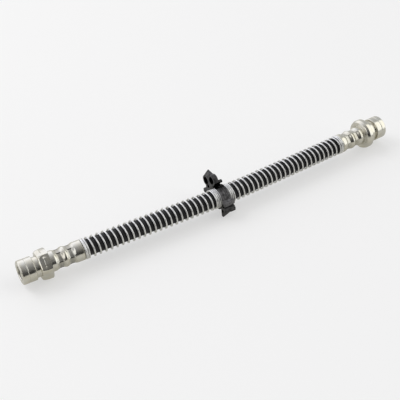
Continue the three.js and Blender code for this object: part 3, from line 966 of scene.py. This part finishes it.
def turned_step(place, radius, rise, foot, top):
    """A ridge turned round a cylinder, or a line scribed into it where rise is below 0."""
    return [(place - foot, radius, 1.0), (place - top, radius + rise, 1.0),
            (place + top, radius + rise, 1.0), (place + foot, radius, 1.0)]


def scribed(distance, radius, depth):
    """A fine line turned round a cylinder."""
    return turned_step(distance, radius, -depth, 0.2 * MM, 0.07 * MM)


def tip_outline(start, end, radius, line, depth):
    """A cylinder with broken edges and a scribed line, in to the mouth of its port."""
    return [(start, radius - SHOULDER_EDGE, 1.0), (start + SHOULDER_EDGE, radius, 1.0),
            *scribed(line, radius, depth),
            (end - EDGE, radius, 1.0), (end, radius - EDGE, 1.0), (end, PORT_MOUTH, 0.8)]


def hexagon_rings():
    """The hexagon: square inner half, and an outer half with lower flats and tapered corners."""
    start = SOCKET_LENGTH
    ledge = start + HEX_LEDGE
    limit = HEX_CORNER - 0.7 * MM
    rings = [
        (start, SOCKET_RADIUS, 0.8),
        (start, lambda a: min(full_hexagon(a), limit), 0.8),
        (lambda a: start + max(0.0, full_hexagon(a) - limit), full_hexagon, 0.15),
        (ledge, full_hexagon, 0.15),
    ]
    # Share of the way out, level of the flats and radius of the corners' land
    for share, level, land in ((0.0, 8.3, 9.45), (0.3, 8.27, 9.35), (0.6, 8.24, 9.2),
                               (0.85, 8.21, 8.95), (1.0, 7.95, 8.6)):
        rings.append((ledge + (0.3 + 2.9 * share) * MM, milled_flats(level * MM, land * MM), 0.15))
    return rings


def left_head_rings(sizes):
    """Hexagon, groove for a spring clip, and collar."""
    hex_end = SOCKET_LENGTH + 6.7 * MM
    groove_end = hex_end + 2.8 * MM
    end = groove_end + 8.8 * MM
    groove = 6.4 * MM
    outline = [(hex_end, 7.3 * MM, 0.8), (hex_end, groove, 0.8), (groove_end, groove, 0.8)]
    outline += tip_outline(groove_end, end, sizes.collar_radius, end - 4.2 * MM, sizes.scribe)
    return end, hexagon_rings() + rounded(outline, 0.14 * MM)


def right_head_rings(sizes):
    """Cone, round flange with turned ridges on its face, step, groove and tip."""
    face = SOCKET_LENGTH
    cone_end = face + CONE_LENGTH
    flange_end = cone_end + 3.8 * MM
    step_end = flange_end + 4.0 * MM
    groove_end = step_end + 2.0 * MM
    end = groove_end + 7.9 * MM
    flange, step, groove = sizes.flange_radius, 7.4 * MM, 6.3 * MM
    outline = [(face, SOCKET_RADIUS, 0.6)]
    low = face + 0.14 * MM
    for ridge in (7.0 * MM, 7.7 * MM, 8.4 * MM):
        outline += [(low, ridge - 0.25 * MM, 1.0), (face, ridge, 1.0), (low, ridge + 0.25 * MM, 1.0)]
    outline += [(face + 0.3 * MM, 9.2 * MM, 1.0), (face + 0.65 * MM, 9.55 * MM, 1.0),
                (cone_end + 0.8 * MM, flange - 0.1 * MM, 1.0), (cone_end + 1.1 * MM, flange, 1.0),
                (flange_end - SHOULDER_EDGE, flange, 1.0),
                (flange_end, flange - SHOULDER_EDGE, 1.0), (flange_end, step, 1.0)]
    outline += turned_step(flange_end + 1.25 * MM, step, 0.22 * MM, 0.35 * MM, 0.15 * MM)
    outline += [(step_end - 0.2 * MM, step, 1.0), (step_end, step - 0.2 * MM, 1.0),
                (step_end, groove, 0.8), (groove_end, groove, 0.8)]
    outline += tip_outline(groove_end, end, sizes.tip_radius, groove_end + 4.3 * MM, sizes.scribe)
    return end, rounded(outline, 0.12 * MM)


class HOSE_OT_fittings(bpy.types.Operator):
    """Turn both end fittings"""
    bl_idname = "brake_hose.fittings"
    bl_label = "End fittings"

    def execute(self, context):
        sizes = context.scene.fitting_sizes
        finish = plated_finish(sizes.colour)
        hose_end = ROUTE_LINE.length
        for name, node, head, place, mouth, dull_and_fold_shade in (
                ("fitting_with_hexagon", "left_fitting", left_head_rings,
                 lambda d: -d, -LEFT_MOUTH, 1.0),
                ("fitting_with_flange", "right_fitting", right_head_rings,
                 lambda d: hose_end + d, -RIGHT_MOUTH, 0.4)):
            length, rings = head(sizes)
            rings = (socket_rings(mouth, dull_and_fold_shade) + rings + port_rings(length)
                     + socket_inside_rings(mouth))
            mesh = turned_mesh(name, rings, ANGLES, place, turn=HEX_TURN)
            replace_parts(make_object(name, mesh, finish), node)
        return {"FINISHED"}


# Clip

def closed_solid(bm):
    """An object of a closed mesh, for cutting and joining."""
    bmesh.ops.recalc_face_normals(bm, faces=bm.faces)
    mesh = bpy.data.meshes.new("clip_solid")
    bm.to_mesh(mesh)
    bm.free()
    obj = bpy.data.objects.new("clip_solid", mesh)
    bpy.context.scene.collection.objects.link(obj)
    return obj


def prism(ends):
    """The solid between two equal flat outlines."""
    bm = bmesh.new()
    first, last = [[bm.verts.new(p) for p in end] for end in ends]
    bm.faces.new(first)
    bm.faces.new(last)
    for i in range(len(first)):
        j = (i + 1) % len(first)
        bm.faces.new((first[i], first[j], last[j], last[i]))
    bmesh.ops.triangulate(bm, faces=bm.faces)
    return closed_solid(bm)


def slab(outline, from_x, to_x):
    """A flat outline, [to the back, up], pushed along X."""
    return prism([[(x, y, z) for y, z in outline] for x in (from_x, to_x)])


def plate(outline, from_z, to_z):
    """A flat outline, [along, to the back], pushed up."""
    return prism([[(x, y, z) for x, y in outline] for z in (from_z, to_z)])


def rod(radius, sides, from_x, to_x, y=0.0, z=0.0):
    """A round bar along X."""
    outline = [(y + radius * math.cos(TAU * i / sides), z + radius * math.sin(TAU * i / sides))
               for i in range(sides)]
    return slab(outline, from_x, to_x)


def hull_of(a, b):
    """The solid that spans two others."""
    bm = bmesh.new()
    for obj in (a, b):
        for vert in obj.data.vertices:
            bm.verts.new(vert.co)
        bpy.data.objects.remove(obj)
    bmesh.ops.convex_hull(bm, input=bm.verts)
    bmesh.ops.delete(bm, geom=[v for v in bm.verts if not v.link_faces], context="VERTS")
    return closed_solid(bm)


def combine(base, others, operation):
    """Adds solids to one, or cuts them from it."""
    for other in others:
        modifier = base.modifiers.new("Join", "BOOLEAN")
        modifier.operation = operation
        modifier.solver = "MANIFOLD"
        modifier.object = other
        mesh = evaluated_mesh(base)
        base.modifiers.clear()
        base.data = mesh
        bpy.data.objects.remove(other)
    if not base.data.polygons:
        raise RuntimeError("the clip's solids came out empty")


def clip_ring(outer, right):
    """A filled disc with grooves round it; its bore is cut last."""
    body = rod(outer, 96, CLIP_LEFT, right)
    middle = (CLIP_LEFT + right) / 2
    for place in RING_GROOVES:
        start, end = middle + place, middle + place + RING_GROOVE_WIDTH
        cutter = rod(outer + 1, 96, start, end)
        combine(cutter, [rod(outer - RING_GROOVE_DEPTH, 96, start - 1, end + 1)], "DIFFERENCE")
        combine(body, [cutter], "DIFFERENCE")
    return body


def clip_ears(right):
    """Two ears that lie shut on the front, the lower one with a finger wing down to the floor."""
    end = right + 1.7
    above = EAR_SPLIT + EAR_GAP / 2
    below = EAR_SPLIT - EAR_GAP / 2
    root, front = -6.2, -10.2
    upper = plate([(CLIP_LEFT, root), (CLIP_LEFT, front), (right - 1.2, front), (end, -9.6),
                   (end, -8.0), (right, root)], above, above + 3.1)
    lower = plate([(CLIP_LEFT, root), (CLIP_LEFT, front), (right, -11.0), (right, root)],
                  below - 3.4, below)
    tongue = plate([(right - 2, root), (right - 2, -10.8), (end, -10.8), (end, -8.6),
                    (right, root)], below - 4.2, below - 1.6)
    floor = -CLIP_AXIS.z / MM
    lifted = floor + 3.6
    wing = hull_of(
        slab([(-5.5, -2), (-6.9, floor), (-8.6, floor), (front, -3.2), (front, -2)],
             CLIP_LEFT, CLIP_LEFT + 0.8),
        slab([(-5.5, -2), (-6.6, lifted), (-8.9, lifted), (front, -3.2), (front, -2)],
             right, right + 1.5))
    return [upper, lower, tongue, wing]


def cable_holder():
    """Twin cable holder on the back, thinner than the ring, with a sloping top, pin and hook."""
    right = CLIP_LEFT + HOLDER_WIDTH
    reach = CHANNEL_RADIUS + CHANNEL_WALL
    rims = [rod(reach, 64, CLIP_LEFT, right, y, z) for y, z in CHANNELS]
    web = hull_of(
        slab([(9.2, 12.8), (14.9, 12.4), (16.3, 7.6), (12.5, 3.0), (6.2, 7.0)], right - 0.4, right),
        slab([(8.9, 12.4), (12.6, 9.6), (16.2, 7.0), (12.5, 3.0), (6.2, 7.0)],
             CLIP_LEFT, CLIP_LEFT + 0.4))
    foot = slab([(3.6, 5.6), (4.4, 8.2), (12, 6), (12.6, 1.0), (8.6, 0.4), (6.8, 0.4)],
                CLIP_LEFT, right)
    pin = rod(PIN_RADIUS, 32, CLIP_LEFT, CLIP_LEFT + PIN_LENGTH, *PIN)
    hook = slab([(6.8, 0.8), (10.6, -0.7), (14.2, -1.2), (15.6, -2.6), (15.4, -4.6), (13.6, -5.4),
                 (13.0, -4.2), (13.8, -3.2), (12.6, -2.6), (9.6, -2.2), (6.6, -1.6)],
                CLIP_LEFT, CLIP_LEFT + 2.6)
    bridge = slab([(2.6, 6.2), (4.4, 8.4), (6.6, 7.6), (5.6, 4.6)], CLIP_LEFT, CLIP_LEFT + 5.4)
    return [*rims, web, foot, pin, hook, bridge]


def clip_cuts(bore, right):
    """The channels, the pits, a notch in the holder's top, and the ring's bore."""
    before = CLIP_LEFT - 1
    channels = [rod(CHANNEL_RADIUS, 64, before, CLIP_LEFT + 8, y, z) for y, z in CHANNELS]
    pits = [rod(radius, 32, before, CLIP_LEFT + depth, y, z) for y, z, radius, depth in PITS]
    notch = slab([(8.2, 14), (10.0, 14), (9.3, 11.2)], before, CLIP_LEFT + 1.6)
    return [*channels, *pits, notch, rod(bore, 96, CLIP_LEFT - 5, right + 5)]


class HOSE_OT_clip(bpy.types.Operator):
    """Mould the cable clip"""
    bl_idname = "brake_hose.clip"
    bl_label = "Cable clip"

    def execute(self, context):
        sizes = context.scene.clip_sizes
        hose = context.scene.hose_sizes
        wire = context.scene.spring_sizes.wire
        bore = (hose.diameter / 2 + GAP + wire + GAP) / MM
        right = CLIP_LEFT + sizes.width / MM
        body = clip_ring(bore + sizes.wall / MM, right)
        combine(body, clip_ears(right) + cable_holder(), "UNION")
        combine(body, clip_cuts(bore, right), "DIFFERENCE")
        grid = body.modifiers.new("Grid", "REMESH")
        grid.mode = "VOXEL"
        grid.voxel_size = sizes.softness / MM
        soft = body.modifiers.new("Soft", "SMOOTH")
        soft.factor = 0.5
        soft.iterations = 3
        thin = body.modifiers.new("Thin", "DECIMATE")
        thin.ratio = 0.4
        mesh = finished_mesh(body, "cable_clip")
        mesh.transform(Matrix.Translation((TO_ROW.x, CLIP_AXIS.y, CLIP_AXIS.z)) @ Matrix.Scale(MM, 4))
        mesh.shade_smooth()
        clip = make_object("cable_clip", mesh, plastic_finish(sizes.colour))
        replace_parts(clip, "clip")
        return {"FINISHED"}


# Stage

def place_camera(settings):
    """Sets the camera where the photograph was taken."""
    data = bpy.data.cameras.new("camera")
    data.sensor_width = 36.0
    data.lens = settings.lens
    data.clip_start = 0.01
    data.clip_end = 50.0
    camera = bpy.data.objects.new("camera", data)
    bpy.context.scene.collection.objects.link(camera)
    around, up = settings.azimuth, settings.elevation
    back = Vector((math.sin(around) * math.cos(up), -math.cos(around) * math.cos(up), math.sin(up)))
    camera.location = settings.place
    camera.rotation_mode = "QUATERNION"
    camera.rotation_quaternion = (-back).to_track_quat("-Z", "Y")
    bpy.context.scene.camera = camera


def floor_finish(colour):
    """Matt pale paper, part of whose look is glow; the metal mirrors it dimmer."""
    material, tree, shader, _ = new_material("floor_paper")
    fill(tree, shader, {
        "Base Color": (*colour, 1), "Roughness": 0.9, "Specular IOR Level": 0.1})
    path = add(tree, "ShaderNodeLightPath").outputs
    tone = colour_mix(tree, path["Is Glossy Ray"], colour, FLOOR_IN_METAL)
    glow = add(tree, "ShaderNodeEmission", {"Color": tone, "Strength": 1.0})
    seen = maths(tree, "MAXIMUM", path["Is Camera Ray"], path["Is Glossy Ray"])
    mix = add(tree, "ShaderNodeMixShader", {
        "Fac": maths(tree, "MULTIPLY", seen, FLOOR_GLOW),
        1: shader.outputs[0], 2: glow.outputs[0]})
    fill(tree, tree.nodes["Material Output"], {"Surface": mix.outputs[0]})
    return material


def lay_floor(colour):
    """A plain square of paper under the hose."""
    bm = bmesh.new()
    bmesh.ops.create_grid(bm, x_segments=1, y_segments=1, size=FLOOR_REACH)
    mesh = bpy.data.meshes.new("floor")
    bm.to_mesh(mesh)
    bm.free()
    mesh.materials.append(floor_finish(colour))
    floor = bpy.data.objects.new("floor", mesh)
    bpy.context.scene.collection.objects.link(floor)


def area_lamp(name, place, target, size, level, mirrored):
    """A rectangular soft box; level is the brightness of its face.

    A mirrored one is only seen in reflections, the others only light matt surfaces.
    """
    data = bpy.data.lights.new(name, "AREA")
    data.shape = "RECTANGLE"
    data.size, data.size_y = size
    data.energy = level * math.pi * size[0] * size[1]
    lamp = bpy.data.objects.new(name, data)
    bpy.context.scene.collection.objects.link(lamp)
    lamp.location = place
    lamp.rotation_mode = "QUATERNION"
    lamp.rotation_quaternion = (Vector(target) - Vector(place)).to_track_quat("-Z", "Y")
    lamp.visible_glossy = mirrored
    lamp.visible_diffuse = not mirrored


def colour_ramp(tree, share, stops):
    """The colour at a share of half a turn, from colours at angles in degrees."""
    ramp = add(tree, "ShaderNodeValToRGB", {"Fac": share})
    elements = ramp.color_ramp.elements
    while len(elements) < len(stops):
        elements.new(0.5)
    for element, (angle, colour) in zip(elements, stops):
        element.position = angle / 180
        element.color = (*colour, 1)
    return ramp.outputs["Color"]


def light_room(seen_colour):
    """Soft room light by direction, with a pale surround where the camera sees it."""
    world = bpy.data.worlds.new("room")
    bpy.context.scene.world = world
    world.use_nodes = True
    tree = world.node_tree
    tree.nodes.clear()
    way = add(tree, "ShaderNodeTexCoord").outputs["Generated"]
    parts = add(tree, "ShaderNodeSeparateXYZ", {0: way}).outputs
    front = maths(tree, "MULTIPLY", parts["Y"], -1.0)
    angle = maths(tree, "ARCTAN2", parts["Z"], front)
    share = maths(tree, "DIVIDE", angle, math.pi)
    to_right = share_between(tree, parts["X"], RIGHT_BEGINS, RIGHT_RULES, "SMOOTHSTEP")
    tone = colour_mix(tree, to_right, colour_ramp(tree, share, ROOM_ACROSS),
                      colour_ramp(tree, share, ROOM_RIGHT))
    room = add(tree, "ShaderNodeBackground", {"Color": tone, "Strength": 1.0})
    seen = add(tree, "ShaderNodeBackground", {"Color": (*seen_colour, 1), "Strength": 1.0})
    path = add(tree, "ShaderNodeLightPath").outputs
    mix = add(tree, "ShaderNodeMixShader", {
        "Fac": path["Is Camera Ray"], 1: room.outputs[0], 2: seen.outputs[0]})
    add(tree, "ShaderNodeOutputWorld", {"Surface": mix.outputs[0]})


class HOSE_OT_stage(bpy.types.Operator):
    """Set the camera, the pale floor and the soft lights"""
    bl_idname = "brake_hose.stage"
    bl_label = "Camera, floor and light"

    def execute(self, context):
        settings = context.scene.stage_settings
        colour = tuple(settings.floor_colour)
        place_camera(settings)
        lay_floor(colour)
        light_room(colour)
        area_lamp("key_box", (-0.7, 0.9, 1.1), (0.0, 0.0, 0.0), (0.8, 0.8), 3.55, False)
        area_lamp("left_box", (-0.56, -0.24, 0.46), (-0.12, 0.0, 0.01), (0.36, 0.8), 1.25, True)
        context.scene.view_settings.view_transform = "Standard"
        return {"FINISHED"}


class HOSE_PT_pieces(bpy.types.Panel):
    """Lists the pieces of the brake hose in the sidebar"""
    bl_idname = "HOSE_PT_pieces"
    bl_label = "Brake hose"
    bl_space_type = "VIEW_3D"
    bl_region_type = "UI"
    bl_category = "Brake hose"

    def draw(self, context):
        for operator in OPERATORS:
            self.layout.operator(operator.bl_idname)
        for name in SETTINGS:
            box = self.layout.box()
            box.label(text=name.replace("_", " ").capitalize())
            settings = getattr(context.scene, name)
            for key in settings.bl_rna.properties.keys():
                if key not in {"rna_type", "name"}:
                    box.prop(settings, key)


OPERATORS = (HOSE_OT_rubber, HOSE_OT_spring, HOSE_OT_fittings, HOSE_OT_clip, HOSE_OT_stage)
CLASSES = (*SETTINGS.values(), *OPERATORS, HOSE_PT_pieces)


def register():
    for cls in CLASSES:
        bpy.utils.register_class(cls)
    for name, cls in SETTINGS.items():
        setattr(bpy.types.Scene, name, PointerProperty(type=cls))


def unregister():
    for name in SETTINGS:
        delattr(bpy.types.Scene, name)
    for cls in reversed(CLASSES):
        bpy.utils.unregister_class(cls)


def main():
    register()
    bpy.ops.brake_hose.rubber()
    bpy.ops.brake_hose.spring()
    bpy.ops.brake_hose.fittings()
    bpy.ops.brake_hose.clip()
    bpy.ops.brake_hose.stage()
    declare_hose()


if __name__ == "__main__":
    main()
